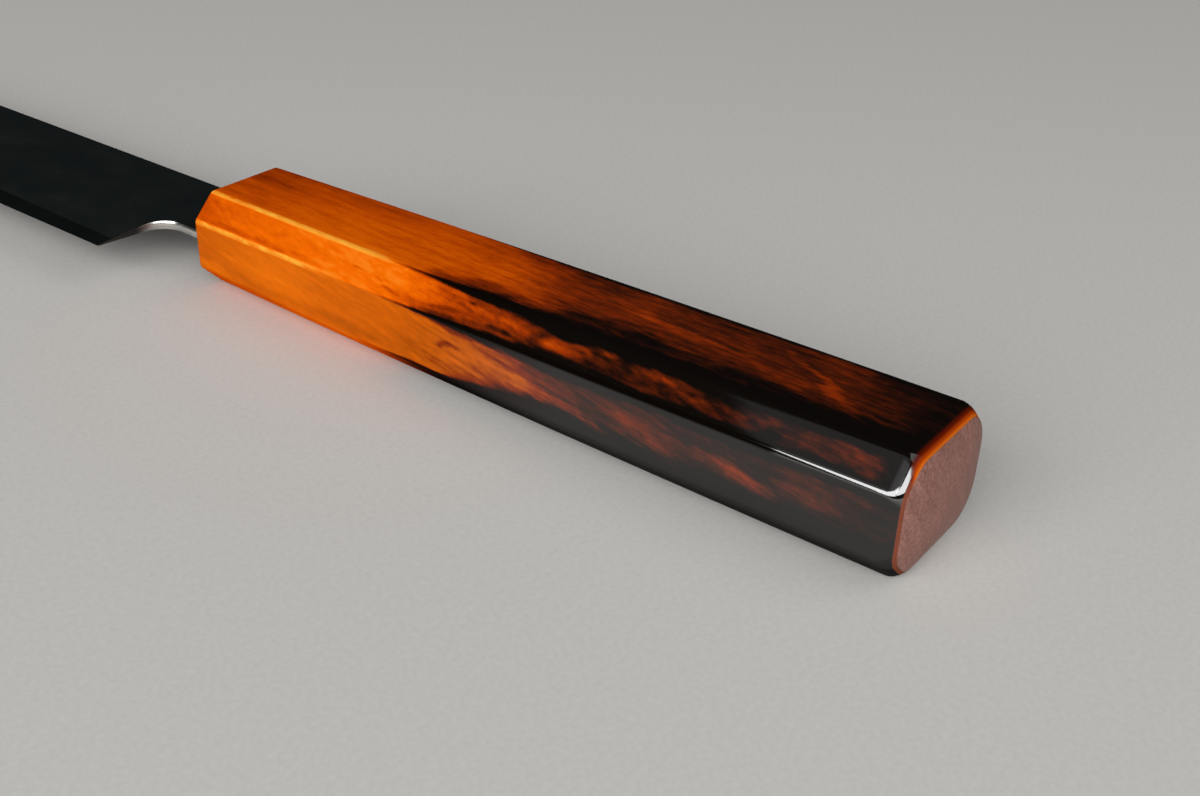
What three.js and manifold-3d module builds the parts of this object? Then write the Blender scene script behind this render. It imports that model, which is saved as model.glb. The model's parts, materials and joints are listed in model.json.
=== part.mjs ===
// A petty knife with a lacquered octagonal handle, lying on its side.
// Millimetres, +Z up. The tip points along -X, the cutting edge faces -Y and the left face of the blade is up.
// Pieces are drawn about the handle's axis, with X = 0 at its front face, and the finished knife is then
// moved so that the origin lies under the middle of its bounding box.

import * as THREE from "three";
import { mergeVertices } from "three/addons/utils/BufferGeometryUtils.js";
import Module from "manifold-3d";

// Handle, over the lacquer
const HANDLE_LENGTH = 131; // between the rims, without the domes of the two ends
const FRONT_HEIGHT = 22.3;
const FRONT_WIDTH = 16.5;
const BUTT_HEIGHT = 24.4;
const BUTT_WIDTH = 18.8;
const BELLY = 1.2; // extra height half way along, over a straight taper
const CHAMFER_LEG = 4.1; // how far each corner flat cuts into the two flats beside it
const EDGE_ROUND = 1.2; // radius along the eight long edges
const FRONT_RIM_ROUND = 0.8;
const BUTT_RIM_ROUND = 2.9;
const BUTT_CORNER_ROUND = 5.2; // corner radius of the octagon where the butt's rim ends
const FRONT_DOME = 0.5;
const BUTT_DOME = 1.4;
const COAT_THICKNESS = 1.1; // lacquer

// Blade, in profile
const EDGE_LENGTH = 150;
const HEEL_GAP = 11.3; // from the handle's front face to the heel
const SPINE_ABOVE_AXIS = 6.1;
const NECK_BELOW_AXIS = 8.7;
const EDGE_BELOW_AXIS = 22.3;
const CHOIL_RADIUS = 4.4; // between the heel and the underside of the neck
const TIP_BELOW_AXIS = 6.4;
const TIP_BLUNTING = 0.4; // length taken off the sharp tip
const SPINE_CURVE_START = 0.42; // share of the edge length, from the heel
const SPINE_CURVE_POWER = 2.4;
const EDGE_CURVE_START = 0.22;
const EDGE_CURVE_POWER = 2.6;

// Blade, in section
const SPINE_THICKNESS = 2.0; // at the heel
const TIP_THICKNESS = 0.7;
const BEHIND_EDGE_THICKNESS = 0.22; // where the edge bevel starts
const BEVEL_HEIGHT = 0.5;
const GRIND_POWER = 2.2; // 1 is a flat grind, more is convex
const CORE_STEEL_THICKNESS = 0.5;
const WELD_SEAM = 0.02; // between the core steel and each cladding

// Tang and what holds it
const SHOULDER_GAP = 1.5; // from the handle's front face to the tang's shoulders
const TANG_LENGTH = 84; // inside the handle
const TANG_FRONT_HEIGHT = 9.4;
const TANG_END_HEIGHT = 5.4;
const TANG_THICKNESS = 1.7;
const DOWEL_DIAMETER = 10.6;
const SLOT_WIDTH = 2.6;
const SLOT_END_ROOM = 2; // past the end of the tang
const SLOT_DEPTH = TANG_LENGTH + SLOT_END_ROOM;
const DOWEL_SOLID_END = 10; // behind the slot
const DOWEL_LENGTH = SLOT_DEPTH + DOWEL_SOLID_END;
const SEAL_DEPTH = 2.4;
const GLUE_LINE = 0.05; // gap between pieces that are glued
const BORE_DIAMETER = DOWEL_DIAMETER + 2 * GLUE_LINE;

// How finely round stretches are drawn
const EDGE_STEPS = 3;
const RIM_STEPS = 4;
const DOME_STEPS = 4;
const BELLY_STEPS = 8;
const ROUND_SEGMENTS = 32;
const BLADE_STATIONS = 30;
const GRIND_STEPS = 7;

const FACES = 8;
const SMALLEST_ROUND = 0.05;
const CUT_OVERRUN = 5; // how far a cutting tool reaches past what it cuts

const wasm = await Module();
wasm.setup();

// Solids: from three.js geometry to manifold-3d and back

function solidOf(geometry) {
  const bare = geometry.clone();
  bare.deleteAttribute("normal");
  bare.deleteAttribute("uv");
  const merged = mergeVertices(bare);
  return new wasm.Manifold(
    new wasm.Mesh({
      numProp: 3,
      vertProperties: new Float32Array(merged.attributes.position.array),
      triVerts: new Uint32Array(merged.index.array),
    }),
  );
}

function geometryOf(solid) {
  const mesh = solid.getMesh();
  const geometry = new THREE.BufferGeometry();
  geometry.setAttribute("position", new THREE.BufferAttribute(mesh.vertProperties, 3));
  geometry.setIndex(new THREE.BufferAttribute(mesh.triVerts, 1));
  geometry.computeVertexNormals();
  return geometry;
}

// A closed body through rings of points, which all have the same count and run the same way round.
function loft(rings) {
  const count = rings[0].length;
  const last = (rings.length - 1) * count;
  const index = [];
  for (let start = 0; start < last; start += count) {
    for (let i = 0; i < count; i++) {
      const a = start + i;
      const b = start + ((i + 1) % count);
      index.push(a, b, b + count, a, b + count, a + count);
    }
  }
  for (let i = 1; i < count - 1; i++) {
    index.push(0, i + 1, i);
    index.push(last, last + i, last + i + 1);
  }
  const geometry = new THREE.BufferGeometry().setFromPoints(rings.flat());
  geometry.setIndex(index);
  return geometry;
}

// A block between two corners.
function block(low, high) {
  const size = new THREE.Vector3().subVectors(high, low);
  const middle = new THREE.Vector3().addVectors(low, high).multiplyScalar(0.5);
  return new THREE.BoxGeometry(size.x, size.y, size.z).translate(middle.x, middle.y, middle.z);
}

// A round bar along X.
function bar(diameter, from, to) {
  return new THREE.CylinderGeometry(diameter / 2, diameter / 2, to - from, ROUND_SEGMENTS)
    .rotateZ(-Math.PI / 2)
    .translate((from + to) / 2, 0, 0);
}

// A flat shape in the blade's plane, given a thickness about that plane.
function plate(shape, thickness) {
  return new THREE.ExtrudeGeometry(shape, {
    depth: thickness,
    bevelEnabled: false,
    curveSegments: ROUND_SEGMENTS / 4,
  }).translate(0, 0, -thickness / 2);
}

// Handle

// How far each of the eight faces lies from the axis, starting at the spine side and turning towards +Z.
function faceDistances(x) {
  const share = x / HANDLE_LENGTH;
  const height =
    THREE.MathUtils.lerp(FRONT_HEIGHT, BUTT_HEIGHT, share) + BELLY * 4 * share * (1 - share);
  const width = THREE.MathUtils.lerp(FRONT_WIDTH, BUTT_WIDTH, share);
  const corner = (height / 2 + width / 2 - CHAMFER_LEG) * Math.SQRT1_2;
  return Array.from({ length: FACES }, (_, face) => {
    if (face % 2) return corner;
    return face % 4 ? width / 2 : height / 2;
  });
}

// The octagon with rounded corners at one place along the handle, taken in all round by an inset.
function handleRing(x, sizeAt, inset, round) {
  const distances = faceDistances(sizeAt).map((distance) => distance - inset - round);
  const turn = (2 * Math.PI) / FACES;
  const ring = [];
  for (let face = 0; face < FACES; face++) {
    const next = (face + 1) % FACES;
    const from = face * turn;
    const to = from + turn;
    const centreY = (distances[face] * Math.sin(to) - distances[next] * Math.sin(from)) / Math.sin(turn);
    const centreZ = (distances[next] * Math.cos(from) - distances[face] * Math.cos(to)) / Math.sin(turn);
    for (let step = 0; step <= EDGE_STEPS; step++) {
      const angle = from + (turn * step) / EDGE_STEPS;
      ring.push(
        new THREE.Vector3(x, centreY + round * Math.cos(angle), centreZ + round * Math.sin(angle)),
      );
    }
  }
  return ring;
}

// The rings along the sides, at a steady inset.
function sideRings(from, to, inset) {
  const round = Math.max(EDGE_ROUND - inset, SMALLEST_ROUND);
  return Array.from({ length: BELLY_STEPS + 1 }, (_, step) => {
    const x = THREE.MathUtils.lerp(from, to, step / BELLY_STEPS);
    return handleRing(x, x, inset, round);
  });
}

// The rings of one end, from its side round the rim and up a shallow dome. Outwards is -1 at the front, 1 at the butt.
function endRings(rimX, outwards, rimRound, cornerRound, dome) {
  const sideX = rimX - outwards * rimRound;
  const domeSlope = Math.atan((4 * dome) / (BUTT_HEIGHT / 2 + BUTT_WIDTH / 2));
  const rings = [];
  for (let step = 0; step <= RIM_STEPS; step++) {
    const share = step / RIM_STEPS;
    const angle = (Math.PI / 2 - domeSlope) * share;
    const x = sideX + outwards * rimRound * Math.sin(angle);
    const round = THREE.MathUtils.lerp(EDGE_ROUND, cornerRound, share);
    rings.push(handleRing(x, sideX, rimRound * (1 - Math.cos(angle)), round));
  }
  const rim = rings.at(-1);
  for (let step = 1; step < DOME_STEPS; step++) {
    const share = 1 - step / DOME_STEPS;
    const rise = outwards * dome * (1 - share ** 2);
    rings.push(rim.map(({ x, y, z }) => new THREE.Vector3(x + rise, y * share, z * share)));
  }
  return rings;
}

function handleOutside() {
  const front = endRings(0, -1, FRONT_RIM_ROUND, EDGE_ROUND, FRONT_DOME).reverse();
  const sides = sideRings(FRONT_RIM_ROUND, HANDLE_LENGTH - BUTT_RIM_ROUND, 0).slice(1, -1);
  const butt = endRings(HANDLE_LENGTH, 1, BUTT_RIM_ROUND, BUTT_CORNER_ROUND, BUTT_DOME);
  return solidOf(loft([...front, ...sides, ...butt]));
}

// What lies deeper in the handle than an inset from its front and sides, run on past the butt.
function handleInside(inset) {
  const end = HANDLE_LENGTH - BUTT_RIM_ROUND;
  const pastButt = handleRing(HANDLE_LENGTH + CUT_OVERRUN, end, inset, SMALLEST_ROUND);
  return solidOf(loft([...sideRings(inset, end, inset), pastButt]));
}

// The slot that the tang goes into: as wide as the blade is thick, with some room, and as high as a round bar.
function slotBody(from, to, width, diameter) {
  const low = new THREE.Vector3(from, -diameter, -width / 2);
  const high = new THREE.Vector3(to, diameter, width / 2);
  return solidOf(block(low, high)).intersect(solidOf(bar(diameter, from, to)));
}

function lacquerCoat() {
  const mouth = slotBody(-CUT_OVERRUN, CUT_OVERRUN, SLOT_WIDTH, BORE_DIAMETER);
  return handleOutside().subtract(handleInside(COAT_THICKNESS)).subtract(mouth);
}

function handleCore() {
  const wood = handleOutside().intersect(handleInside(COAT_THICKNESS + GLUE_LINE));
  const bore = bar(BORE_DIAMETER, -CUT_OVERRUN, DOWEL_LENGTH + GLUE_LINE);
  return wood.subtract(solidOf(bore));
}

// What grips the tang

function tangDowel() {
  const front = COAT_THICKNESS + GLUE_LINE;
  const slot = slotBody(-CUT_OVERRUN, SLOT_DEPTH, SLOT_WIDTH, DOWEL_DIAMETER + CUT_OVERRUN);
  return solidOf(bar(DOWEL_DIAMETER, front, DOWEL_LENGTH)).subtract(slot);
}

// What fills the slot round the tang between two places along the handle.
function slotFilling(from, to) {
  const filling = slotBody(from, to, SLOT_WIDTH - 2 * GLUE_LINE, DOWEL_DIAMETER);
  return filling.subtract(solidOf(tang(GLUE_LINE)));
}

function mouthSeal() {
  return slotFilling(0, SEAL_DEPTH);
}

function tangResin() {
  return slotFilling(SEAL_DEPTH + GLUE_LINE, SLOT_DEPTH - GLUE_LINE);
}

// Blade

// The tang in the blade's plane, from its shoulders to its end, with an allowance all round it.
function tang(allowance) {
  const start = -SHOULDER_GAP - CUT_OVERRUN;
  const end = TANG_LENGTH + allowance;
  const front = TANG_FRONT_HEIGHT / 2 + allowance;
  const back = TANG_END_HEIGHT / 2 + allowance;
  const shape = new THREE.Shape([
    new THREE.Vector2(start, -front),
    new THREE.Vector2(0, -front),
    new THREE.Vector2(end, -back),
    new THREE.Vector2(end, back),
    new THREE.Vector2(0, front),
    new THREE.Vector2(start, front),
  ]);
  return plate(shape, TANG_THICKNESS + 2 * allowance);
}

// How far a curve has moved at a share of the edge length, if it is straight up to a start.
function curved(share, start, power) {
  return Math.max((share - start) / (1 - start), 0) ** power;
}

// The blade's section at a distance in front of the heel, from the spine down one side and up the other.
function bladeRing(fromHeel) {
  const share = Math.max(fromHeel / EDGE_LENGTH, 0);
  const spineDrop = SPINE_ABOVE_AXIS + TIP_BELOW_AXIS;
  const edgeRise = EDGE_BELOW_AXIS - TIP_BELOW_AXIS;
  const spine = SPINE_ABOVE_AXIS - spineDrop * curved(share, SPINE_CURVE_START, SPINE_CURVE_POWER);
  const edge = -EDGE_BELOW_AXIS + edgeRise * curved(share, EDGE_CURVE_START, EDGE_CURVE_POWER);
  const thickness = THREE.MathUtils.lerp(SPINE_THICKNESS, TIP_THICKNESS, share);
  const narrowing = (spine - edge) / (SPINE_ABOVE_AXIS + EDGE_BELOW_AXIS);
  const behindEdge = BEHIND_EDGE_THICKNESS * Math.min(1, narrowing * 4);
  const bevelTop = edge + BEVEL_HEIGHT * Math.min(1, narrowing * 4);
  const side = Array.from({ length: GRIND_STEPS + 1 }, (_, step) => {
    const down = step / GRIND_STEPS;
    const half = (behindEdge + (thickness - behindEdge) * (1 - down ** GRIND_POWER)) / 2;
    return { y: THREE.MathUtils.lerp(spine, bevelTop, down), half };
  });
  const x = -HEEL_GAP - fromHeel;
  return [
    ...side.map(({ y, half }) => new THREE.Vector3(x, y, half)),
    new THREE.Vector3(x, edge, 0),
    ...side.map(({ y, half }) => new THREE.Vector3(x, y, -half)).reverse(),
  ];
}

// The ground blade, still as deep as its edge at the neck.
function groundBlade() {
  const behindHeel = HEEL_GAP - SHOULDER_GAP;
  const toTip = EDGE_LENGTH - TIP_BLUNTING;
  const rings = [bladeRing(-behindHeel)];
  for (let station = 0; station <= BLADE_STATIONS; station++) {
    // stations draw closer together towards the tip
    const share = 1 - (1 - station / BLADE_STATIONS) ** 1.5;
    rings.push(bladeRing(toTip * share));
  }
  return solidOf(loft(rings.reverse()));
}

// What is cut away behind the heel and under the neck, with the choil's round corner.
function choilTool() {
  const heel = -HEEL_GAP;
  const back = CUT_OVERRUN;
  const low = -EDGE_BELOW_AXIS - CUT_OVERRUN;
  const shape = new THREE.Shape();
  shape.moveTo(heel, low);
  shape.lineTo(back, low);
  shape.lineTo(back, -NECK_BELOW_AXIS);
  shape.lineTo(heel + CHOIL_RADIUS, -NECK_BELOW_AXIS);
  shape.absarc(heel + CHOIL_RADIUS, -NECK_BELOW_AXIS - CHOIL_RADIUS, CHOIL_RADIUS, Math.PI / 2, Math.PI);
  shape.closePath();
  return solidOf(plate(shape, SPINE_THICKNESS + CUT_OVERRUN));
}

// The blade and its tang before the layers are told apart.
const bladeBlank = groundBlade().subtract(choilTool()).add(solidOf(tang(0)));

// The part of the blank between two heights above its middle plane.
function layer(low, high) {
  const reach = HANDLE_LENGTH + EDGE_LENGTH + HEEL_GAP;
  return bladeBlank.intersect(
    solidOf(block(new THREE.Vector3(-reach, -reach, low), new THREE.Vector3(reach, reach, high))),
  );
}

const coreFace = CORE_STEEL_THICKNESS / 2;
const claddingFace = coreFace + WELD_SEAM;

// Materials

const polishedSteel = new THREE.MeshStandardMaterial({ color: 0xb9bab8, roughness: 0.25, metalness: 1 });
const blackSteel = new THREE.MeshStandardMaterial({ color: 0x14191a, roughness: 0.55, metalness: 0.3 });
const lacquer = new THREE.MeshStandardMaterial({ color: 0x7a3306, roughness: 0.12, metalness: 0 });
const endGrain = new THREE.MeshStandardMaterial({ color: 0x7b564f, roughness: 0.6, metalness: 0 });
const paleWood = new THREE.MeshStandardMaterial({ color: 0xcbb088, roughness: 0.8, metalness: 0 });
const amberResin = new THREE.MeshStandardMaterial({ color: 0xb98a3c, roughness: 0.35, metalness: 0 });
const darkResin = new THREE.MeshStandardMaterial({ color: 0x2a2019, roughness: 0.4, metalness: 0 });

// The knife

function piece(name, solid, material) {
  const mesh = new THREE.Mesh(geometryOf(solid), material);
  mesh.name = name;
  return mesh;
}

const blade = new THREE.Group();
blade.add(
  piece("blade_core", layer(-coreFace, coreFace), polishedSteel),
  piece("left_cladding", layer(claddingFace, SPINE_THICKNESS), blackSteel),
  piece("right_cladding", layer(-SPINE_THICKNESS, -claddingFace), blackSteel),
);

const handle = new THREE.Group();
handle.add(
  piece("handle_core", handleCore(), endGrain),
  piece("lacquer_coat", lacquerCoat(), lacquer),
  piece("tang_dowel", tangDowel(), paleWood),
  piece("tang_resin", tangResin(), amberResin),
  piece("mouth_seal", mouthSeal(), darkResin),
);

const knife = new THREE.Group();
knife.add(blade, handle);

// The origin lies under the middle of the bounding box.
const bounds = new THREE.Box3().setFromObject(knife);
const middle = bounds.getCenter(new THREE.Vector3());
knife.position.set(-middle.x, -middle.y, -bounds.min.z);

const part = new THREE.Group();
part.add(knife);

export default part;
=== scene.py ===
"""Looks of a petty knife with a lacquered octagonal handle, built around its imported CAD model.

Metres, in the CAD model's frame: +X towards the butt, +Y towards the spine, +Z up.
Pieces are drawn about the handle's axis, from the middle of its front rim, and then moved into place.
"""

import json
import math
from collections import namedtuple

import bpy
from mathutils import Matrix, Vector


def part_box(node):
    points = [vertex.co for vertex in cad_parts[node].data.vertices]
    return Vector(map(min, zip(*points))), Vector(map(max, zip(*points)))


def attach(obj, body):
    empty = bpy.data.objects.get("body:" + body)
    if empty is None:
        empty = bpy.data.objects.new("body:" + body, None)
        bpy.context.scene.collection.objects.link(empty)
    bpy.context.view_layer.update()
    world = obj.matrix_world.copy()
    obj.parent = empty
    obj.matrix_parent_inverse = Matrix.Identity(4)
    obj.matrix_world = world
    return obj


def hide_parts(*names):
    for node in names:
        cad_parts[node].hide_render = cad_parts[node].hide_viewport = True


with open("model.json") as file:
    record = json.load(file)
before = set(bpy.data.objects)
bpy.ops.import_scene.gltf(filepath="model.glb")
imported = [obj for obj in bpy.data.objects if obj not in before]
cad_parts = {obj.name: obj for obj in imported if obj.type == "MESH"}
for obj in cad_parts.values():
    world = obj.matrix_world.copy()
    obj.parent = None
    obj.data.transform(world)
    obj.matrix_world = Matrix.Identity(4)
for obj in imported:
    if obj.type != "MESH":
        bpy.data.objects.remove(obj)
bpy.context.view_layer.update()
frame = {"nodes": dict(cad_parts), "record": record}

MM = 0.001

# Handle, over the lacquer
HANDLE_LENGTH = 131 * MM
FRONT_HEIGHT = 22.3 * MM
FRONT_WIDTH = 16.5 * MM
BUTT_HEIGHT = 24.4 * MM
BUTT_WIDTH = 18.8 * MM
BELLY = 1.2 * MM
CHAMFER_LEG = 4.1 * MM
EDGE_ROUND = 1.2 * MM
FRONT_RIM_ROUND = 0.8 * MM
BUTT_RIM_ROUND = 2.9 * MM
BUTT_CORNER_ROUND = 5.2 * MM
FRONT_DOME = 0.5 * MM
BUTT_DOME = 1.4 * MM
COAT_THICKNESS = 1.1 * MM
GLUE_LINE = 0.05 * MM
SMALLEST_ROUND = 0.05 * MM
BORE_RADIUS = 5.35 * MM
BORE_DEPTH = 96.05 * MM
MOUTH_WIDTH = 2.6 * MM

# Blade
EDGE_LENGTH = 150 * MM
HEEL_GAP = 11.3 * MM
SPINE_ABOVE_AXIS = 6.1 * MM
NECK_BELOW_AXIS = 8.7 * MM
EDGE_BELOW_AXIS = 22.3 * MM
CHOIL_RADIUS = 4.4 * MM
TIP_BELOW_AXIS = 6.4 * MM
TIP_BLUNTING = 0.4 * MM
SPINE_CURVE_START = 0.42
SPINE_CURVE_POWER = 2.4
EDGE_CURVE_START = 0.22
EDGE_CURVE_POWER = 2.6
SPINE_THICKNESS = 2.0 * MM
TIP_THICKNESS = 0.7 * MM
BEHIND_EDGE_THICKNESS = 0.22 * MM
BEVEL_HEIGHT = 0.5 * MM
GRIND_POWER = 2.2
CORE_STEEL_THICKNESS = 0.5 * MM
WELD_SEAM = 0.02 * MM
SPINE_ROUND = 0.3 * MM
SHOULDER_GAP = 1.5 * MM
TANG_LENGTH = 84 * MM
TANG_FRONT_HEIGHT = 9.4 * MM
TANG_END_HEIGHT = 5.4 * MM
TANG_THICKNESS = 1.7 * MM
SLIM_SHARE = 0.25  # where less of the heel's height is left, the bevel and the spine's rounding shrink too
CHOIL_MARGIN = 0.1 * MM
CHOIL_TILT = 0.5  # a face that looks further up or down than this is not part of the choil's wall
CHOIL_ROUNDING = 1.6
CHOIL_FADE_START = 1 * MM
CHOIL_FADE_END = 6 * MM

# How finely things are drawn
FACES = 8
FLAT_STEPS = 6
ROUND_STEPS = 6
RIM_STEPS = 10
DOME_STEPS = 10
SIDE_STEPS = 90
INSIDE_STEPS = 10
BLADE_STATIONS = 110
GRIND_STEPS = 20
SPINE_STEPS = 4
ARC_STEPS = 16
STATION_SPREAD = 1.5  # above 1, stations crowd towards the tip
CUT_OVERRUN = 5 * MM
HANDLE_SHARP_ANGLE = 40
BLADE_SHARP_ANGLE = 25
HALF_EDGE = 0.04  # half of a rounded edge, where a face counts as 1

# Camera, from the middle of the handle's front rim
CAMERA_PLACE = Vector((186.2, -151.9, 103.7)) * MM
CAMERA_LOOKS = Vector((-0.5056, 0.6989, -0.5059))
CAMERA_ROLL = math.radians(2.05)
CAMERA_LENS = 44.0
CAMERA_SENSOR = 36.0
CAMERA_NEAR = 10 * MM

# Floor and surroundings
FLOOR_HALF = 6.0
WORLD_STRENGTH = 0.016

# The middle of the handle's front rim in the CAD model
coat_low, coat_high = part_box("lacquer_coat")
coat_middle = (coat_low + coat_high) / 2
HANDLE_FRONT = Vector((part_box("mouth_seal")[0].x, coat_middle.y, coat_middle.z))


def lerp(a, b, share):
    return a + (b - a) * share


# Meshes


def new_piece(name, mesh):
    piece = bpy.data.objects.new(name, mesh)
    bpy.context.scene.collection.objects.link(piece)
    return piece


def smooth(mesh, sharp_angle):
    mesh.shade_smooth()
    mesh.set_sharp_from_angle(angle=math.radians(sharp_angle))


def loft(name, rings, joined=False):
    """A mesh through rings of points.

    A ring of one point closes an end. If joined, the last ring runs into the first.
    """
    points, starts = [], []
    for ring in rings:
        starts.append(len(points))
        points.extend(ring)
    pairs = list(zip(range(len(rings)), range(1, len(rings))))
    if joined:
        pairs.append((len(rings) - 1, 0))
    faces = []
    for first, second in pairs:
        count = max(len(rings[first]), len(rings[second]))
        for i in range(count):
            near = [starts[first] + k % len(rings[first]) for k in (i, i + 1)]
            far = [starts[second] + k % len(rings[second]) for k in (i + 1, i)]
            if len(rings[first]) == 1:
                near = near[:1]
            if len(rings[second]) == 1:
                far = far[:1]
            faces.append(near + far)
    mesh = bpy.data.meshes.new(name)
    mesh.from_pydata([tuple(p + HANDLE_FRONT) for p in points], [], faces)
    mesh.validate()
    return new_piece(name, mesh)


# Handle

End = namedtuple("End", "rim_x outwards rim_round corner_round dome")
FRONT_END = End(0, -1, FRONT_RIM_ROUND, EDGE_ROUND, FRONT_DOME)
BUTT_END = End(HANDLE_LENGTH, 1, BUTT_RIM_ROUND, BUTT_CORNER_ROUND, BUTT_DOME)
BUTT_SIDE_END = HANDLE_LENGTH - BUTT_RIM_ROUND
COAT_END_REACH = math.sqrt(BUTT_RIM_ROUND**2 - (BUTT_RIM_ROUND - COAT_THICKNESS) ** 2)


def face_distances(x):
    """How far each face lies from the axis, starting at the spine side and turning towards +Z."""
    share = x / HANDLE_LENGTH
    height = lerp(FRONT_HEIGHT, BUTT_HEIGHT, share) + BELLY * 4 * share * (1 - share)
    width = lerp(FRONT_WIDTH, BUTT_WIDTH, share)
    corner = (height / 2 + width / 2 - CHAMFER_LEG) * math.sqrt(0.5)
    return [corner if face % 2 else (width / 2 if face % 4 else height / 2) for face in range(FACES)]


def handle_ring(x, size_at, inset, round_radius):
    distances = [d - inset - round_radius for d in face_distances(size_at)]
    turn = 2 * math.pi / FACES
    corners = []
    for face in range(FACES):
        start, end = face * turn, (face + 1) * turn
        here, there = distances[face], distances[(face + 1) % FACES]
        y = (here * math.sin(end) - there * math.sin(start)) / math.sin(turn)
        z = (there * math.cos(start) - here * math.cos(end)) / math.sin(turn)
        arc = [start + turn * step / ROUND_STEPS for step in range(ROUND_STEPS + 1)]
        points = [(y + round_radius * math.cos(a), z + round_radius * math.sin(a)) for a in arc]
        corners.append([Vector((x, *point)) for point in points])
    ring = []
    for face in range(FACES):
        before, after = corners[face - 1][-1], corners[face][0]
        ring.extend(before.lerp(after, step / FLAT_STEPS) for step in range(1, FLAT_STEPS))
        ring.extend(corners[face])
    return ring


def places_around():
    """Where a ring's points lie round the handle: whole numbers mid-face, halves on the edges."""
    places = []
    for face in range(FACES):
        start, end = face - 0.5 + HALF_EDGE, face + 0.5 - HALF_EDGE
        next_start = face + 0.5 + HALF_EDGE
        places.extend(lerp(start, end, step / FLAT_STEPS) for step in range(1, FLAT_STEPS))
        places.extend(lerp(end, next_start, step / ROUND_STEPS) for step in range(ROUND_STEPS + 1))
    return places


def side_rings(start, end, inset, steps):
    round_radius = max(EDGE_ROUND - inset, SMALLEST_ROUND)
    places = [lerp(start, end, step / steps) for step in range(steps + 1)]
    return [handle_ring(x, x, inset, round_radius) for x in places]


def rim_angle(end):
    """How far a rim turns before the dome takes over."""
    return math.pi / 2 - math.atan(4 * end.dome / (BUTT_HEIGHT / 2 + BUTT_WIDTH / 2))


def rim_share(end, depth):
    """The share of a rim's turn at which it is a depth in from the sides."""
    return math.acos(1 - depth / end.rim_round) / rim_angle(end)


def rim_rings(end, first, last):
    side_x = end.rim_x - end.outwards * end.rim_round
    rings = []
    for step in range(RIM_STEPS + 1):
        share = lerp(first, last, step / RIM_STEPS)
        angle = rim_angle(end) * share
        x = side_x + end.outwards * end.rim_round * math.sin(angle)
        depth = end.rim_round * (1 - math.cos(angle))
        rings.append(handle_ring(x, side_x, depth, lerp(EDGE_ROUND, end.corner_round, share)))
    return rings


def dome_rings(end, rim, inner):
    """Rings over an end's dome, from its rim in to an inner outline."""
    rings = []
    for step in range(1, DOME_STEPS + 1):
        ring = []
        for outer, goal in zip(rim, inner):
            y = lerp(outer.y, goal.y, step / DOME_STEPS)
            z = lerp(outer.z, goal.z, step / DOME_STEPS)
            share = math.hypot(y, z) / math.hypot(outer.y, outer.z)
            ring.append(Vector((outer.x + end.outwards * end.dome * (1 - share**2), y, z)))
        rings.append(ring)
    return rings


def mouth_ring(x):
    """The slot-shaped mouth, with a point for each point of a handle ring."""
    ring = []
    for point in handle_ring(x, 0, 0, EDGE_ROUND):
        reach = max(abs(point.y) / BORE_RADIUS, abs(point.z) / (MOUTH_WIDTH / 2))
        ring.append(Vector((x, point.y / reach, point.z / reach)))
    return ring


def bore_ring(x):
    ring = []
    for point in handle_ring(x, 0, 0, EDGE_ROUND):
        reach = math.hypot(point.y, point.z) / BORE_RADIUS
        ring.append(Vector((x, point.y / reach, point.z / reach)))
    return ring


def mark_around(piece):
    """Stores where each corner of the mesh lies round the handle, without a jump where the rings close."""
    mesh = piece.data
    places = places_around()
    marks = mesh.attributes.new("around", "FLOAT", "CORNER")
    for polygon in mesh.polygons:
        columns = [mesh.loops[corner].vertex_index % len(places) for corner in polygon.loop_indices]
        closes = max(columns) - min(columns) > 1
        for corner, column in zip(polygon.loop_indices, columns):
            marks.data[corner].value = places[column] + (FACES if closes and column == 0 else 0)


def lacquer_coat():
    front_rim = rim_rings(FRONT_END, 1, 0)
    front_dome = dome_rings(FRONT_END, front_rim[0], mouth_ring(0))
    outside = side_rings(FRONT_RIM_ROUND, BUTT_SIDE_END, 0, SIDE_STEPS)[1:-1]
    butt_rim = rim_rings(BUTT_END, 0, rim_share(BUTT_END, COAT_THICKNESS))
    inside = side_rings(COAT_THICKNESS, BUTT_SIDE_END, COAT_THICKNESS, INSIDE_STEPS)
    shell = [*reversed(front_dome), *front_rim, *outside, *butt_rim, *reversed(inside)]
    piece = loft("lacquer", [*shell, mouth_ring(COAT_THICKNESS)], joined=True)
    mark_around(piece)
    smooth(piece.data, HANDLE_SHARP_ANGLE)
    return piece


def handle_wood():
    inset = COAT_THICKNESS + GLUE_LINE
    sides = side_rings(inset, BUTT_SIDE_END, inset, INSIDE_STEPS)[:-1]
    rim = rim_rings(BUTT_END, rim_share(BUTT_END, inset), 1)
    dome = dome_rings(BUTT_END, rim[-1], [Vector()] * len(rim[-1]))
    bore = [[Vector((BORE_DEPTH, 0, 0))], bore_ring(BORE_DEPTH), bore_ring(inset)]
    piece = loft("handle_wood", [*bore, *sides, *rim, *dome[:-1], dome[-1][:1]])
    smooth(piece.data, HANDLE_SHARP_ANGLE)
    return piece


# Blade


def curved(share, start, power):
    return max((share - start) / (1 - start), 0) ** power


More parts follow.
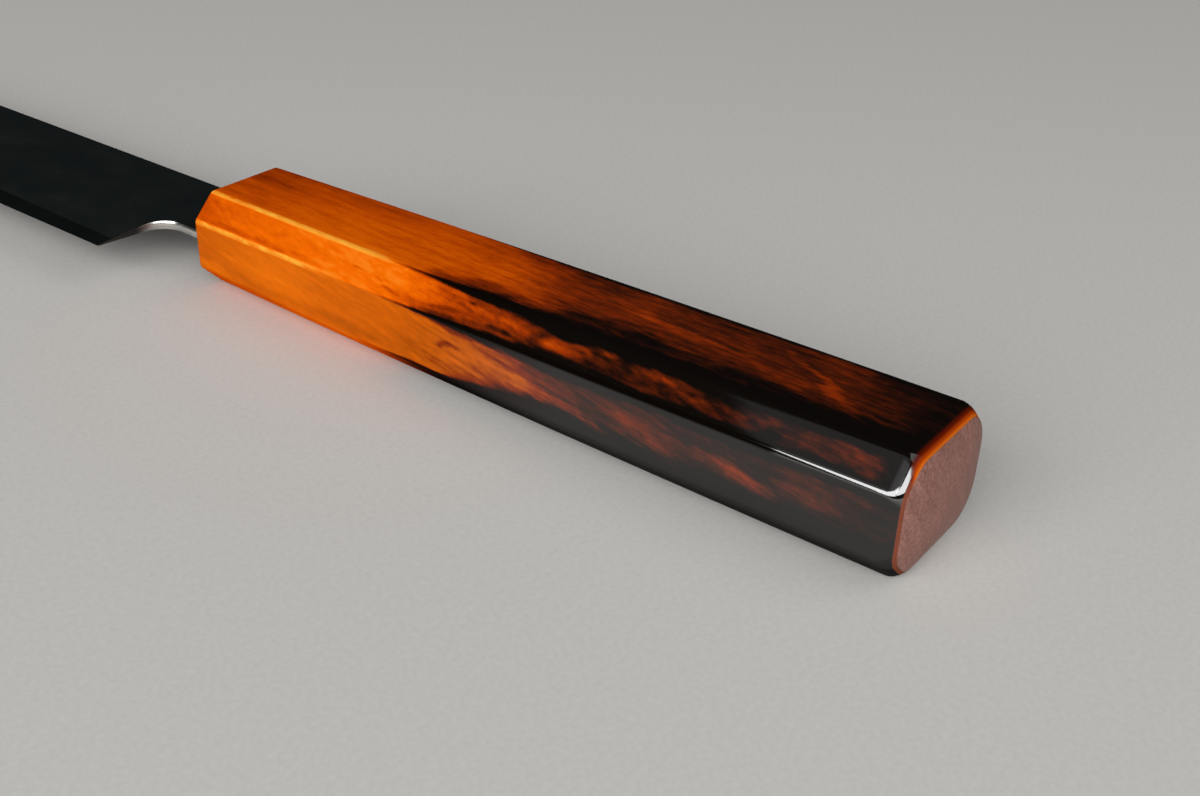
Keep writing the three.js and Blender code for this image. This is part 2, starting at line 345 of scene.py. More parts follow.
def blade_ring(from_heel):
    share = max(from_heel / EDGE_LENGTH, 0)
    spine_drop = SPINE_ABOVE_AXIS + TIP_BELOW_AXIS
    edge_rise = EDGE_BELOW_AXIS - TIP_BELOW_AXIS
    spine = SPINE_ABOVE_AXIS - spine_drop * curved(share, SPINE_CURVE_START, SPINE_CURVE_POWER)
    edge = -EDGE_BELOW_AXIS + edge_rise * curved(share, EDGE_CURVE_START, EDGE_CURVE_POWER)
    thickness = lerp(SPINE_THICKNESS, TIP_THICKNESS, share)
    narrowing = (spine - edge) / (SPINE_ABOVE_AXIS + EDGE_BELOW_AXIS)
    near_tip = min(1, narrowing / SLIM_SHARE)
    behind_edge = BEHIND_EDGE_THICKNESS * near_tip
    bevel_top = edge + BEVEL_HEIGHT * near_tip
    spine_round = SPINE_ROUND * near_tip * thickness / SPINE_THICKNESS
    side = []
    for step in range(SPINE_STEPS):
        angle = math.pi / 2 * step / SPINE_STEPS
        y = spine - spine_round * (1 - math.cos(angle))
        side.append((y, thickness / 2 - spine_round * (1 - math.sin(angle))))
    for step in range(GRIND_STEPS + 1):
        down = step / GRIND_STEPS
        half = (behind_edge + (thickness - behind_edge) * (1 - down**GRIND_POWER)) / 2
        side.append((lerp(spine - spine_round, bevel_top, down), half))
    x = -HEEL_GAP - from_heel
    left = [Vector((x, y, half)) for y, half in side]
    right = [Vector((x, y, -half)) for y, half in reversed(side)]
    return [*left, Vector((x, edge, 0)), *right]


def ground_blade():
    rings = [blade_ring(SHOULDER_GAP - HEEL_GAP), blade_ring(0)]
    for station in range(1, BLADE_STATIONS + 1):
        share = 1 - (1 - station / BLADE_STATIONS) ** STATION_SPREAD
        rings.append(blade_ring((EDGE_LENGTH - TIP_BLUNTING) * share))
    ends = [[sum(ring, Vector()) / len(ring)] for ring in (rings[0], rings[-1])]
    return loft("ground_blade", [ends[0], *rings, ends[1]])


def plate(name, outline, low, high):
    count = len(outline)
    points = [tuple(Vector((x, y, z)) + HANDLE_FRONT) for z in (low, high) for x, y in outline]
    faces = [[*reversed(range(count))], [*range(count, 2 * count)]]
    for i in range(count):
        j = (i + 1) % count
        faces.append([i, j, count + j, count + i])
    mesh = bpy.data.meshes.new(name)
    mesh.from_pydata(points, [], faces)
    return new_piece(name, mesh)


def choil_tool():
    heel, back = -HEEL_GAP, CUT_OVERRUN
    low = -EDGE_BELOW_AXIS - CUT_OVERRUN
    centre = (heel + CHOIL_RADIUS, -NECK_BELOW_AXIS - CHOIL_RADIUS)
    arc = []
    for step in range(ARC_STEPS + 1):
        angle = math.pi / 2 * (1 + step / ARC_STEPS)
        arc.append((centre[0] + CHOIL_RADIUS * math.cos(angle), centre[1] + CHOIL_RADIUS * math.sin(angle)))
    outline = [(heel, low), (back, low), (back, -NECK_BELOW_AXIS), *arc]
    return plate("choil_tool", outline, -SPINE_THICKNESS, SPINE_THICKNESS)


def tang():
    start = -SHOULDER_GAP - CUT_OVERRUN
    front, back = TANG_FRONT_HEIGHT / 2, TANG_END_HEIGHT / 2
    lower = [(start, -front), (0, -front), (TANG_LENGTH, -back)]
    upper = [(TANG_LENGTH, back), (0, front), (start, front)]
    return plate("tang", lower + upper, -TANG_THICKNESS / 2, TANG_THICKNESS / 2)


def slab(name, low, high):
    reach = HANDLE_LENGTH + EDGE_LENGTH
    return plate(name, [(-reach, -reach), (reach, -reach), (reach, reach), (-reach, reach)], low, high)


def shaped(name, blank, steps):
    """A copy of a blank after cuts, joins and overlaps with tools."""
    piece = new_piece(name, blank.data.copy())
    for operation, tool in steps:
        change = piece.modifiers.new(operation.lower(), "BOOLEAN")
        change.operation = operation
        change.solver = "EXACT"
        change.object = tool
    evaluated = piece.evaluated_get(bpy.context.evaluated_depsgraph_get())
    mesh = bpy.data.meshes.new_from_object(evaluated)
    piece.modifiers.clear()
    piece.data = mesh
    mesh.name = name
    smooth(mesh, BLADE_SHARP_ANGLE)
    return piece


def blade_layers():
    core_face = CORE_STEEL_THICKNESS / 2
    cladding_face = core_face + WELD_SEAM
    blank, choil, tongue = ground_blade(), choil_tool(), tang()
    layers = {
        "core_steel": slab("core_slab", -core_face, core_face),
        "left_face": slab("left_slab", cladding_face, SPINE_THICKNESS),
        "right_face": slab("right_slab", -SPINE_THICKNESS, -cladding_face),
    }
    pieces = {}
    for name, tool in layers.items():
        pieces[name] = shaped(name, blank, [("DIFFERENCE", choil), ("UNION", tongue), ("INTERSECT", tool)])
    for tool in (blank, choil, tongue, *layers.values()):
        bpy.data.objects.remove(tool)
    return pieces


def polish_choil(piece, finish):
    """Gives the cut wall behind the heel and under the neck a finish of its own."""
    mesh = piece.data
    mesh.materials.append(finish)
    for polygon in mesh.polygons:
        place = polygon.center - HANDLE_FRONT
        behind_heel = -HEEL_GAP - CHOIL_MARGIN < place.x < -SHOULDER_GAP
        below_neck = place.y < -NECK_BELOW_AXIS + CHOIL_MARGIN
        if behind_heel and below_neck and abs(polygon.normal.z) < CHOIL_TILT:
            polygon.material_index = 1


# Finishes

LACQUER_RELIEF = 0.01 * MM
WOOD_RELIEF = 0.02 * MM
CLADDING_RELIEF = 0.006 * MM


def display(red, green, blue):
    """A colour by its display values from 0 to 255."""

    def linear(value):
        share = value / 255
        return share / 12.92 if share <= 0.04045 else ((share + 0.055) / 1.055) ** 2.4

    return (linear(red), linear(green), linear(blue), 1.0)


class Value:
    """One output among a finish's nodes. Arithmetic on it adds Math nodes."""

    def __init__(self, finish, socket):
        self.finish = finish
        self.socket = socket

    def math(self, operation, *others):
        return self.finish.math(operation, self, *others)

    def __add__(self, other):
        return self.math("ADD", other)

    def __radd__(self, other):
        return self.math("ADD", other)

    def __sub__(self, other):
        return self.math("SUBTRACT", other)

    def __rsub__(self, other):
        return self.finish.math("SUBTRACT", other, self)

    def __mul__(self, other):
        return self.math("MULTIPLY", other)

    def __rmul__(self, other):
        return self.math("MULTIPLY", other)

    def __truediv__(self, other):
        return self.math("DIVIDE", other)

    def __pow__(self, power):
        return self.math("POWER", power)

    def __abs__(self):
        return self.math("ABSOLUTE")

    def ease(self, start, end):
        """0 at start and 1 at end, with a soft change between them."""
        inputs = {"Value": self, "From Min": start, "From Max": end}
        return self.finish.node("ShaderNodeMapRange", {"interpolation_type": "SMOOTHSTEP"}, inputs)


class Finish:
    """A material and its nodes. Constants of its surface are given by socket name."""

    def __init__(self, name, **surface):
        self.material = bpy.data.materials.new(name)
        self.material.use_nodes = True
        self.tree = self.material.node_tree
        self.shader = self.tree.nodes["Principled BSDF"]
        for socket, value in surface.items():
            self.set(socket.replace("_", " "), value)

    def set(self, socket, value):
        self.feed(self.shader.inputs[socket], value)

    def feed(self, socket, value):
        if isinstance(value, Value):
            self.tree.links.new(value.socket, socket)
        else:
            socket.default_value = value

    def node(self, kind, settings=None, inputs=None, output=0):
        node = self.tree.nodes.new(kind)
        for name, value in (settings or {}).items():
            setattr(node, name, value)
        for name, value in (inputs or {}).items():
            self.feed(node.inputs[name], value)
        return Value(self, node.outputs[output])

    def math(self, operation, *values):
        return self.node("ShaderNodeMath", {"operation": operation}, dict(enumerate(values)))

    def mix(self, share, first, second):
        settings = {"data_type": "RGBA"}
        return self.node("ShaderNodeMix", settings, {0: share, 6: first, 7: second}, output=2)

    def ramp(self, value, stops):
        """A colour for a value, between stops given as (value, colour)."""
        ramp = self.node("ShaderNodeValToRGB", inputs={"Fac": value})
        elements = ramp.socket.node.color_ramp.elements
        while len(elements) < len(stops):
            elements.new(1.0)
        for element, (position, color) in zip(elements, stops):
            element.position = position
            element.color = color
        return ramp

    def position(self):
        return self.node("ShaderNodeTexCoord", output="Object")

    def coordinate(self, axis):
        return self.node("ShaderNodeSeparateXYZ", inputs={"Vector": self.position()}, output=axis)

    def attribute(self, name):
        return self.node("ShaderNodeAttribute", {"attribute_name": name}, output="Fac")

    def noise(self, size, detail=2.0, turn=(0.0, 0.0, 0.0), distortion=0.0, shift=0.0):
        """Cloudy values about 0, within about half either way, in clouds of a size along each axis."""
        settings = {"vector_type": "TEXTURE"}
        inputs = {"Vector": self.position(), "Location": [shift] * 3, "Rotation": turn, "Scale": size}
        place = self.node("ShaderNodeMapping", settings, inputs)
        inputs = {"Vector": place, "Scale": 1.0, "Detail": detail, "Distortion": distortion}
        return self.node("ShaderNodeTexNoise", inputs=inputs) - 0.5

    def bump(self, height, depth):
        """Feeds the normal from heights within about half either way, times a depth in metres."""
        inputs = {"Strength": 1.0, "Distance": depth, "Height": height}
        self.set("Normal", self.node("ShaderNodeBump", inputs=inputs))


# Lacquer: one tone from 0, thin and golden, to 1, black

LACQUER_TONES = [
    (0.0, display(252, 176, 58)),
    (0.12, display(240, 106, 3)),
    (0.3, display(205, 78, 2)),
    (0.5, display(146, 48, 3)),
    (0.7, display(82, 27, 5)),
    (0.85, display(36, 12, 5)),
    (1.0, display(10, 6, 4)),
]
THINNEST_TONE = 0.1
THINNEST_TONE_BLEND = 0.08
GOLDEN_TONE = 0.01
DULL_GOLD = display(184, 130, 16)
DULL_GOLD_SHARE = 0.2

# The cut edge of the coat, from where it leaves the rim to the wood
CUT_EDGE_TONES = [
    (0.0, display(36, 9, 3)),
    (0.55, display(98, 24, 4)),
    (0.9, display(174, 64, 8)),
    (1.0, display(210, 104, 22)),
]
LOW_CUT_EDGE = display(124, 66, 48)
CUT_LENGTH = 0.5 * MM
UPPER_CUT_EXTRA = 0.35 * MM
SIDE_CUT_EXTRA = 0.75 * MM
COAT_END = (BUTT_SIDE_END + COAT_END_REACH) / HANDLE_LENGTH

# Faces by their places round the handle, and the edge between the chamfer and the edge-side flat
HIDDEN_CHAMFER = 1
SIDE_FLAT = 2
CHAMFER = 3
EDGE_FLAT = 4
UNDERSIDE = 6
LOW_EDGE = 3.5

# Where things end or start along the handle, as shares of its length
GOLDEN_END = 0.335
LOW_GOLDEN_LESS = 0.1
EDGE_POLISH_START = 0.852
EDGE_POLISH_FULL = 0.866

# How a face darkens: by how much, and from where to where along the handle, as shares of its length
Rise = namedtuple("Rise", "amount start end")

BASE_TONE = 0.13
BASE_RISES = [Rise(0.12, 0.22, 0.0)]
# painted shade: the side flat is darkened a little overall, as it takes less light than the chamfer; its
# rises are the lacquer darkening along the handle
SIDE_FLAT_SHADE = 0.03
SIDE_FLAT_RISES = [
    Rise(0.05, 0.30, 0.05),
    Rise(0.12, 0.30, 0.45),
    Rise(0.30, 0.44, 0.58),
    Rise(0.06, 0.58, 0.70),
    Rise(0.16, 0.84, 0.93),
    Rise(0.13, 0.94, 0.98),
]
FAR_EDGE_TONE = 0.14
FAR_EDGE_RISES = [Rise(0.06, 0.10, 0.30), Rise(-0.12, 0.50, 0.65)]
CHAMFER_RISES = [Rise(0.40, 0.34, 0.48), Rise(0.30, 0.47, 0.62), Rise(0.30, 0.955, 0.98)]
EDGE_FLAT_TONE = 0.05
EDGE_FLAT_RISES = [
    Rise(0.10, 0.16, 0.30),
    Rise(0.18, 0.33, 0.47),
    Rise(0.38, 0.46, 0.64),
    Rise(0.08, 0.90, 0.97),
]
# painted shade: the lower chamfer next to the floor, and its twin half way round, turns dark from about a
# third of the way along, as a shadow along the lower edge
HIDDEN_CHAMFER_SHADE_RISES = [Rise(0.95, 0.26, 0.46)]

# A black band along an edge: where the edge lies round the handle, how far the band comes to reach over the
# faces before and after it, and how much later along the handle it starts than the first ones.
Band = namedtuple("Band", "edge before after delay")

EDGE_BANDS = [
    # the bands at 0.5 and 4.5 meet at the lower edge next to the floor, where they are partly black lacquer
    # and partly painted shade
    Band(0.5, 0.26, 0.20, 0.02),
    Band(1.5, 0.10, 0.03, 0.0),
    Band(2.5, 0.24, 0.22, 0.0),
    Band(3.5, 0.17, 0.12, 0.0),
    Band(4.5, 0.28, 0.20, 0.02),
]
LEAST_BAND = 0.001
FIRST_BAND = 0.03

# A stroke in the lacquer: its middle along and round the handle, its half length and half width in the same
# measures, how far it leans round the handle over the handle's length, and how much it lightens or darkens.
Stroke = namedtuple("Stroke", "along around length width lean strength")

FLAMES = [
    # On the chamfer
    Stroke(0.43, 2.62, 0.030, 0.12, 0, 0.14),
    Stroke(0.52, 2.95, 0.075, 0.26, 0, 0.10),
    Stroke(0.56, 3.08, 0.045, 0.20, 0, 0.08),
    Stroke(0.595, 3.02, 0.036, 0.29, -1, 0.34),
    Stroke(0.63, 2.76, 0.030, 0.14, -3, 0.22),
    Stroke(0.695, 2.85, 0.030, 0.18, 1, 0.19),
    Stroke(0.725, 3.00, 0.030, 0.20, 2, 0.12),
    Stroke(0.765, 3.07, 0.022, 0.13, 1, 0.16),
    Stroke(0.845, 2.93, 0.025, 0.13, 0, 0.12),
    Stroke(0.945, 2.98, 0.025, 0.15, 1, 0.10),
    # On the edge-side flat
    Stroke(0.03, 4.36, 0.040, 0.20, 0, 0.10),
    Stroke(0.12, 4.00, 0.070, 0.16, 0.5, 0.07),
    Stroke(0.43, 4.12, 0.050, 0.10, 0.5, 0.10),
    Stroke(0.48, 4.00, 0.100, 0.25, 0, 0.08),
    Stroke(0.59, 4.10, 0.100, 0.17, 2.2, 0.20),
    Stroke(0.515, 3.70, 0.050, 0.10, 1.5, 0.05),
    Stroke(0.58, 3.88, 0.060, 0.13, 1, 0.13),
    Stroke(0.70, 3.98, 0.080, 0.24, 2, 0.13),
    Stroke(0.82, 4.05, 0.060, 0.16, 3, 0.24),
    Stroke(0.90, 3.98, 0.050, 0.24, 1, 0.09),
    # On the left side flat
    Stroke(0.48, 2.00, 0.080, 0.25, 0, 0.06),
    Stroke(0.68, 1.95, 0.090, 0.07, 1, 0.14),
    Stroke(0.85, 1.95, 0.065, 0.09, 4.5, 0.19),
]
SMOKE = [
    # On the chamfer
    Stroke(0.46, 2.76, 0.014, 0.08, 0, 0.20),
    Stroke(0.005, 3.00, 0.025, 0.60, 0, 0.10),
    Stroke(0.285, 3.02, 0.014, 0.04, 2, 0.14),
    Stroke(0.320, 3.10, 0.014, 0.05, 3, 0.14),
    Stroke(0.345, 3.28, 0.020, 0.07, 3, 0.16),
    Stroke(0.40, 3.32, 0.100, 0.18, 0, 0.16),
    Stroke(0.43, 3.18, 0.030, 0.10, -2, 0.14),
    Stroke(0.51, 3.22, 0.022, 0.10, 0, 0.20),
    Stroke(0.56, 2.95, 0.016, 0.20, 0, 0.10),
    Stroke(0.575, 2.70, 0.045, 0.18, 0, 0.15),
    Stroke(0.66, 3.05, 0.020, 0.55, 0, 0.06),
    Stroke(0.785, 2.78, 0.040, 0.26, 0, 0.14),
    Stroke(0.855, 3.25, 0.025, 0.22, 0, 0.18),
    Stroke(0.42, 3.46, 0.070, 0.14, 0, 0.28),
    Stroke(0.12, 3.40, 0.140, 0.16, 0, 0.10),
    # On the left side flat
    Stroke(0.45, 2.42, 0.100, 0.22, 0, 0.34),
    Stroke(0.47, 1.56, 0.060, 0.14, 0, 0.12),
    Stroke(0.68, 2.20, 0.260, 0.14, 0, 0.08),
    # On the edge-side flat
    Stroke(0.44, 3.90, 0.030, 0.06, -1, 0.18),
    Stroke(0.47, 3.56, 0.045, 0.13, 0, 0.24),
    Stroke(0.53, 4.40, 0.130, 0.28, -1.5, 0.24),
    Stroke(0.24, 4.36, 0.170, 0.18, 0, 0.12),
]


def stroke_shade(along, around, strokes):
    """How strongly a place lies within any of the strokes, which fade out towards their ends and sides."""
    total = 0.0
    for stroke in strokes:
        past = along - stroke.along
        beside = (around - stroke.around - past * stroke.lean) / stroke.width
        off = ((past / stroke.length) ** 2 + beside * beside).math("SQRT")
        total = off.ease(1.1, 0.25) * stroke.strength + total
    return total


# Where a place on the lacquer lies: along the handle, right round it, round the half that repeats, in from
# the nearest edge, and on which face
Place = namedtuple(
    "Place", "along turn around from_edge on_side_flat on_chamfer on_edge_flat on_hidden_chamfer"
)

# Noises in the lacquer, and two that loosen the strokes
Grain = namedtuple("Grain", "clouds streaks figure fibres embers wander drift")


def lacquer_place(finish):
    along = (finish.coordinate("X") - HANDLE_FRONT.x) / HANDLE_LENGTH
    turn = finish.attribute("around")
    # both sides of the handle are lacquered alike, turned half way round
    around = (turn - 0.5).math("FLOORED_MODULO", FACES / 2) + 0.5
    face = around.math("ROUND")
    from_edge = 0.5 - abs(around - face)
    shown = (SIDE_FLAT, CHAMFER, EDGE_FLAT, HIDDEN_CHAMFER)
    return Place(along, turn, around, from_edge, *[abs(face - number).ease(1.0, 0.0) for number in shown])


def lacquer_grain(finish):
    return Grain(
        clouds=finish.noise((16 * MM, 5 * MM, 5 * MM), 3.0, (0, 0.15, -0.06)),
        streaks=finish.noise((13 * MM, 0.9 * MM, 0.9 * MM), 3.0, (0, 0.19, -0.06), 0.4),
        figure=finish.noise((26 * MM, 1.8 * MM, 1.8 * MM), 2.0, (0, 0.02, -0.05), shift=0.4),
        fibres=finish.noise((9 * MM, 0.3 * MM, 0.3 * MM), 3.0, (0, 0.05, -0.03)),
        embers=finish.noise((2.2 * MM, 0.9 * MM, 0.9 * MM), 4.0, (0, 0.3, 0), shift=0.2),
        wander=finish.noise((6 * MM, 2.5 * MM, 2.5 * MM), 3.0, shift=0.1),
        drift=finish.noise((6 * MM, 2.5 * MM, 2.5 * MM), 3.0, shift=0.3),
    )


def risen(along, tone, rises):
    """A tone after the rises that it has passed along the handle."""
    for rise in rises:
        tone = rise.amount * along.ease(rise.start, rise.end) + tone
    return tone


def face_tone(place):
    """How dark the lacquer is along each face, with painted shade on the side flat and on the hidden
    chamfer.
    """
    along = place.along
    towards_far_edge = (place.around - SIDE_FLAT).ease(0.4, -0.5)
    far_dusk = risen(along, FAR_EDGE_TONE, FAR_EDGE_RISES) * towards_far_edge
    side_flat = risen(along, SIDE_FLAT_SHADE, SIDE_FLAT_RISES) + far_dusk
    tone = risen(along, BASE_TONE, BASE_RISES) + side_flat * place.on_side_flat
    tone = tone + risen(along, 0.0, CHAMFER_RISES) * place.on_chamfer
    tone = tone + risen(along, EDGE_FLAT_TONE, EDGE_FLAT_RISES) * place.on_edge_flat
    return tone + risen(along, 0.0, HIDDEN_CHAMFER_SHADE_RISES) * place.on_hidden_chamfer


def grain_tone(place, grain):
    """Smoke and fibres within the lacquer, calmer on the flats and towards the front."""
    streaks = grain.streaks * (0.4 - 0.15 * place.on_side_flat)
    embers = grain.embers * (0.45 - 0.25 * place.on_side_flat - 0.15 * place.on_edge_flat)
    fibres = grain.fibres * (0.15 + 0.2 * place.on_side_flat)
    figure = grain.figure * (0.1 + 0.2 * place.on_side_flat)
    liveliness = 0.55 + 0.45 * place.along.ease(0.25, 0.5)
    return (grain.clouds * 0.35 + streaks + embers + fibres) * liveliness + figure


def stroke_tone(place, grain):
    """The flames and the smoke, loosened so that no outline is smooth."""
    along = place.along + grain.wander * 0.05
    around = place.around + grain.drift * 0.28
    return stroke_shade(along, around, SMOKE) - stroke_shade(along, around, FLAMES)


def band_tone(place, grain):
    """Dusk and black along the edges, with ragged outlines; along the lower edge next to the floor they are
    partly painted shade.
    """
    ragged = 1 + 0.9 * grain.clouds + 0.8 * grain.streaks
    bands = -1.0
    for band in EDGE_BANDS:
        past = place.around - band.edge
        reached = place.along - band.delay
        reach = lerp(band.before, band.after, past.ease(-0.01, 0.01)) * reached.ease(0.38, 0.6)
        width = (LEAST_BAND + FIRST_BAND * reached.ease(0.3, 0.36) + reach) * ragged
        bands = (1 - abs(past) / width).math("MAXIMUM", bands)
    darkening = 0.3 * bands.ease(-0.3, 0.5) + 0.3 * bands.ease(0.3, 0.9)
    return darkening * place.along.ease(0.3, 0.4)


def golden_edges(place, grain):
    """Where the lacquer is thin and golden: along the chamfer's two edges, in front of the black bands."""
    end = GOLDEN_END - LOW_GOLDEN_LESS * abs(place.around - LOW_EDGE).ease(0.4, 0.1)
    golden = place.from_edge.ease(0.07, 0.015) * (place.along + 0.12 * grain.clouds - end).ease(0.02, -0.05)
    return golden * abs(place.around - CHAMFER).ease(1.0, 0.7) * (0.85 + 1.2 * grain.embers)


def coat_gloss(place, grain):
    """How much of the clear coat shows: little at the front and underneath, more on the dark half."""
    underneath = abs(place.turn - UNDERSIDE).ease(1.6, 1.4)
    gloss = (0.03 + 0.36 * place.along.ease(0.38, 0.62)) * (1 + 0.3 * grain.clouds)
    gloss = gloss * (1 - 0.8 * underneath - 0.08 * place.on_edge_flat)
    # one long edge and the rim it runs into are polished bright towards the butt
    above_edge_flat = place.turn.ease(LOW_EDGE + HALF_EDGE, LOW_EDGE + 0.005)
    on_edge = place.turn.ease(LOW_EDGE - 2 * HALF_EDGE, LOW_EDGE - HALF_EDGE) * above_edge_flat
    polish = 0.06 + 0.94 * place.along.ease(EDGE_POLISH_START, EDGE_POLISH_FULL)
    gloss = gloss + (polish - gloss) * on_edge
    past_side = place.along - BUTT_SIDE_END / HANDLE_LENGTH
    on_rim = place.turn.ease(2.54, 2.62) * past_side.ease(-0.002, 0.004)
    return gloss.math("MAXIMUM", on_rim * above_edge_flat)


def lacquer_finish():
    finish = Finish("lacquer", Roughness=0.4, Specular_IOR_Level=0.0, Coat_Roughness=0.07, Coat_IOR=2.6)
    place = lacquer_place(finish)
    grain = lacquer_grain(finish)
    tone = face_tone(place) + grain_tone(place, grain) + stroke_tone(place, grain) + band_tone(place, grain)
    tone = tone.math("SMOOTH_MAX", THINNEST_TONE, THINNEST_TONE_BLEND)
    tone = tone + (GOLDEN_TONE - tone) * golden_edges(place, grain)
    color = finish.ramp(tone, LACQUER_TONES)
    dulled = DULL_GOLD_SHARE * place.on_edge_flat * tone.ease(0.6, 0.35)
    color = finish.mix(dulled, color, DULL_GOLD)

    # the cut edge of the coat round the butt
    on_upper_side = abs(place.turn - SIDE_FLAT).ease(1.6, 0.5)
    on_side_rim = abs(place.turn - SIDE_FLAT).ease(0.95, 0.35)
    cut_length = CUT_LENGTH + UPPER_CUT_EXTRA * on_upper_side + SIDE_CUT_EXTRA * on_side_rim
    cut_edge = ((place.along - COAT_END) * HANDLE_LENGTH / cut_length + 1).ease(0.0, 1.0)
    cut_color = finish.mix(on_upper_side, LOW_CUT_EDGE, finish.ramp(cut_edge, CUT_EDGE_TONES))
    finish.set("Base Color", finish.mix(cut_edge.ease(0.0, 0.3), color, cut_color))
    finish.set("Coat Weight", coat_gloss(place, grain) * (1 - 0.9 * cut_edge.ease(0.0, 0.4)))
    finish.bump(grain.fibres + grain.streaks, LACQUER_RELIEF)
    return finish.material


def butt_wood_finish():
    finish = Finish("handle_wood", Specular_IOR_Level=0.3)
    pores = finish.noise((3 * MM, 0.4 * MM, 0.4 * MM), 4.0)
    rings = finish.noise((30 * MM, 1.4 * MM, 6 * MM), 3.0, (0.5, 0, 0))
    color = finish.ramp(pores + rings * 0.4 + 0.5, [
        (0.2, display(108, 72, 63)),
        (0.5, display(138, 95, 84)),
        (0.8, display(164, 119, 107)),
    ])
    finish.set("Base Color", color)
    finish.set("Roughness", 0.55 + 0.3 * pores)
    finish.bump(pores, WOOD_RELIEF)
    return finish.material


def cladding_finish():
    finish = Finish("black_cladding", Specular_IOR_Level=0.25)
    clouds = finish.noise((9 * MM, 6 * MM, 6 * MM), 4.0)
    speckle = finish.noise((0.5 * MM, 0.5 * MM, 0.5 * MM), 3.0)
    shade = clouds * 0.8 + speckle * 0.35 + 0.5
    color = finish.ramp(shade, [
        (0.2, display(14, 19, 19)),
        (0.55, display(19, 24, 23)),
        (0.85, display(30, 32, 29)),
    ])
    finish.set("Base Color", color)
    finish.set("Roughness", 0.52 + 0.25 * clouds + 0.1 * speckle)
    finish.bump(speckle, CLADDING_RELIEF)
    return finish.material


def core_steel_finish():
    finish = Finish("core_steel", Metallic=1.0)
    brushing = finish.noise((0.12 * MM, 12 * MM, 12 * MM), 2.0)
    clouds = finish.noise((10 * MM, 3 * MM, 3 * MM), 2.0)
    color = finish.ramp(brushing * 0.6 + clouds * 0.5 + 0.5, [
        (0.2, display(56, 66, 65)),
        (0.8, display(88, 98, 96)),
    ])
    finish.set("Base Color", color)
    finish.set("Roughness", 0.36 + 0.15 * brushing)
    return finish.material


def polished_steel_finish():
    finish = Finish("polished_steel", Metallic=1.0)
    scratches = finish.noise((4 * MM, 4 * MM, 0.05 * MM), 2.0)
    color = finish.ramp(scratches + 0.5, [(0.2, display(214, 212, 208)), (0.8, display(240, 238, 234))])
    # painted shade: the polished wall turns dark grey and rougher towards the heel
    below_axis = HANDLE_FRONT.y - finish.coordinate("Y")
    heel_shade = below_axis.ease(NECK_BELOW_AXIS + CHOIL_FADE_START, NECK_BELOW_AXIS + CHOIL_FADE_END)
    finish.set("Base Color", finish.mix(heel_shade, color, display(66, 68, 68)))
    finish.set("Roughness", 0.24 + 0.2 * scratches + 0.3 * heel_shade)
    # polished round from side to side
    rise = (finish.coordinate("Z") - HANDLE_FRONT.z) / SPINE_THICKNESS
    tilt = finish.node("ShaderNodeCombineXYZ", inputs={"Z": rise * CHOIL_ROUNDING})
    normal = finish.node("ShaderNodeNewGeometry", output="Normal")
    rounded = finish.node("ShaderNodeVectorMath", {"operation": "ADD"}, {0: normal, 1: tilt})
    finish.set("Normal", finish.node("ShaderNodeVectorMath", {"operation": "NORMALIZE"}, {0: rounded}))
    return finish.material


def dowel_finish():
    finish = Finish("dowel_wood", Specular_IOR_Level=0.3)
    grain = finish.noise((14 * MM, 0.5 * MM, 0.5 * MM), 3.0)
    color = finish.ramp(grain + 0.5, [(0.25, display(186, 158, 116)), (0.75, display(224, 202, 164))])
    finish.set("Base Color", color)
    finish.set("Roughness", 0.75 + 0.2 * grain)
    return finish.material


def resin_finish(name, dark, light):
    finish = Finish(name)
    clouds = finish.noise((2 * MM, 2 * MM, 2 * MM), 3.0)
    finish.set("Base Color", finish.ramp(clouds + 0.5, [(0.25, dark), (0.75, light)]))
    finish.set("Roughness", 0.35 + 0.3 * clouds)
    return finish.material


def floor_finish():
    finish = Finish("floor", Roughness=0.85, Specular_IOR_Level=0.2)
    fibres = finish.noise((0.8 * MM, 0.8 * MM, 0.8 * MM), 3.0)
    color = finish.ramp(fibres + 0.5, [(0.2, display(206, 204, 200)), (0.8, display(216, 214, 210))])
    finish.set("Base Color", color)
    return finish.material


# Stage


def add_camera():
    camera = bpy.data.cameras.new("camera")
    camera.lens = CAMERA_LENS
    camera.sensor_width = CAMERA_SENSOR
    camera.sensor_fit = "HORIZONTAL"
    camera.clip_start = CAMERA_NEAR
    holder = bpy.data.objects.new("camera", camera)
    holder.location = HANDLE_FRONT + CAMERA_PLACE
    turn = CAMERA_LOOKS.to_track_quat("-Z", "Y").to_matrix() @ Matrix.Rotation(CAMERA_ROLL, 3, "Z")
    holder.rotation_euler = turn.to_euler()
    bpy.context.scene.collection.objects.link(holder)
    bpy.context.scene.camera = holder


# A soft rectangular light that faces the lit middle: where it is from the middle of the handle's front rim,
# which way its upper side points, its width and height, and how bright its face looks.
Panel = namedtuple("Panel", "name place up width height radiance")

LEVEL = Vector((0, 0, 1))
SLANTED = Vector((-0.15, 0, 1))
LIT_MIDDLE = Vector((0.07, 0, 0))

SOFTBOX = Panel("softbox", Vector((0.313, -1.591, 0.892)), SLANTED, 2.0, 1.24, 4.1)
SIDE_BOX = Panel("side_box", Vector((1.429, -0.833, 0.92)), LEVEL, 1.0, 0.88, 3.8)
BACK_FILL = Panel("back_fill", Vector((1.298, 0.572, 1.734)), LEVEL, 2.0, 1.6, 0.9)

# A dim ceiling in layers, each a little narrower than the last, for a soft outline
CEILING = Panel("ceiling", Vector((0.126, -1.0, 1.543)), SLANTED, 1.74, 0.66, 1.0)
CEILING_LAYERS = 5
CEILING_STEP = 0.02


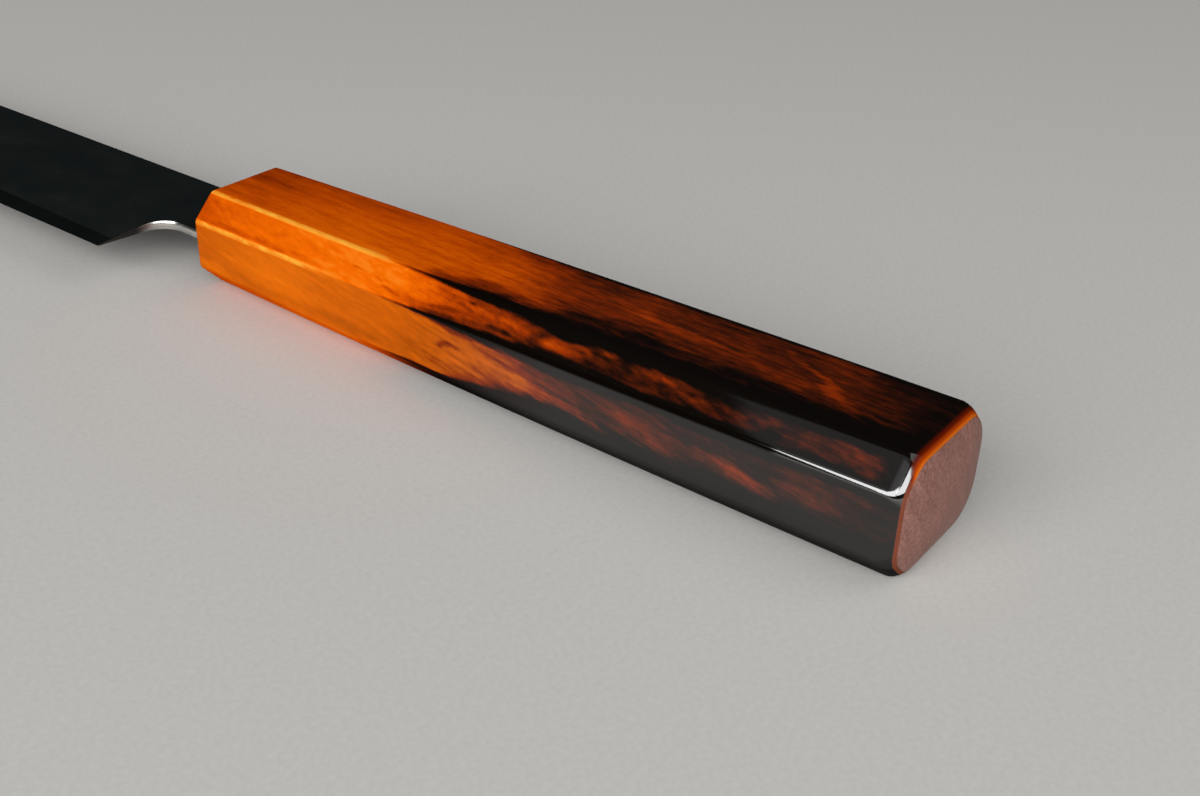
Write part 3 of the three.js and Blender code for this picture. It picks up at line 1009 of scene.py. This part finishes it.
def add_panel(panel):
    light = bpy.data.lights.new(panel.name, "AREA")
    light.shape = "RECTANGLE"
    light.size, light.size_y = panel.width, panel.height
    light.energy = panel.radiance * math.pi * panel.width * panel.height
    holder = bpy.data.objects.new(panel.name, light)
    holder.location = HANDLE_FRONT + panel.place
    backwards = (panel.place - LIT_MIDDLE).normalized()
    sideways = panel.up.cross(backwards).normalized()
    upwards = backwards.cross(sideways)
    holder.rotation_euler = Matrix((sideways, upwards, backwards)).transposed().to_euler()
    bpy.context.scene.collection.objects.link(holder)


def ceiling_layer(layer):
    width = CEILING.width - layer * CEILING_STEP
    return CEILING._replace(name=f"ceiling_{layer}", width=width, radiance=CEILING.radiance / CEILING_LAYERS)


def add_lights():
    ceiling = [ceiling_layer(layer) for layer in range(CEILING_LAYERS)]
    for panel in (SOFTBOX, SIDE_BOX, *ceiling, BACK_FILL):
        add_panel(panel)


def add_floor():
    """A wide pale floor against the flat that the handle rests on."""
    rest = next(mount for mount in frame["record"]["mounts"] if mount["name"] == "handle_side_flat")
    corners = [(x * FLOOR_HALF, y * FLOOR_HALF, 0) for x, y in ((-1, -1), (1, -1), (1, 1), (-1, 1))]
    mesh = bpy.data.meshes.new("floor")
    mesh.from_pydata(corners, [], [(0, 1, 2, 3)])
    mesh.materials.append(floor_finish())
    floor = new_piece("floor", mesh)
    floor.location = rest["pos_m"]
    floor.rotation_euler = (-Vector(rest["axis"])).to_track_quat("Z", "Y").to_euler()


def add_world():
    world = bpy.data.worlds.new("world")
    world.use_nodes = True
    background = world.node_tree.nodes["Background"]
    background.inputs["Color"].default_value = (1, 1, 1, 1)
    background.inputs["Strength"].default_value = WORLD_STRENGTH
    bpy.context.scene.world = world


def show(piece, node):
    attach(piece, "root")
    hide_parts(node)


coat = lacquer_coat()
coat.data.materials.append(lacquer_finish())
show(coat, "lacquer_coat")

wood = handle_wood()
wood.data.materials.append(butt_wood_finish())
show(wood, "handle_core")

blade = blade_layers()
polished = polished_steel_finish()
cladding = cladding_finish()
for name, node, slot, finish in (
    ("core_steel", "blade_core", "core_steel", core_steel_finish()),
    ("left_face", "left_cladding", "black_cladding", cladding),
    ("right_face", "right_cladding", "black_cladding", cladding),
):
    blade[name].data.materials.append(finish)
    polish_choil(blade[name], polished)
    show(blade[name], node)

for node, finish in (
    ("tang_dowel", dowel_finish()),
    ("tang_resin", resin_finish("tang_resin", display(168, 120, 48), display(204, 160, 84))),
    ("mouth_seal", resin_finish("mouth_seal", display(30, 22, 18), display(52, 40, 33))),
):
    frame["nodes"][node].data.materials.clear()
    frame["nodes"][node].data.materials.append(finish)

add_camera()
add_lights()
add_floor()
add_world()
bpy.context.scene.view_settings.view_transform = "Standard"
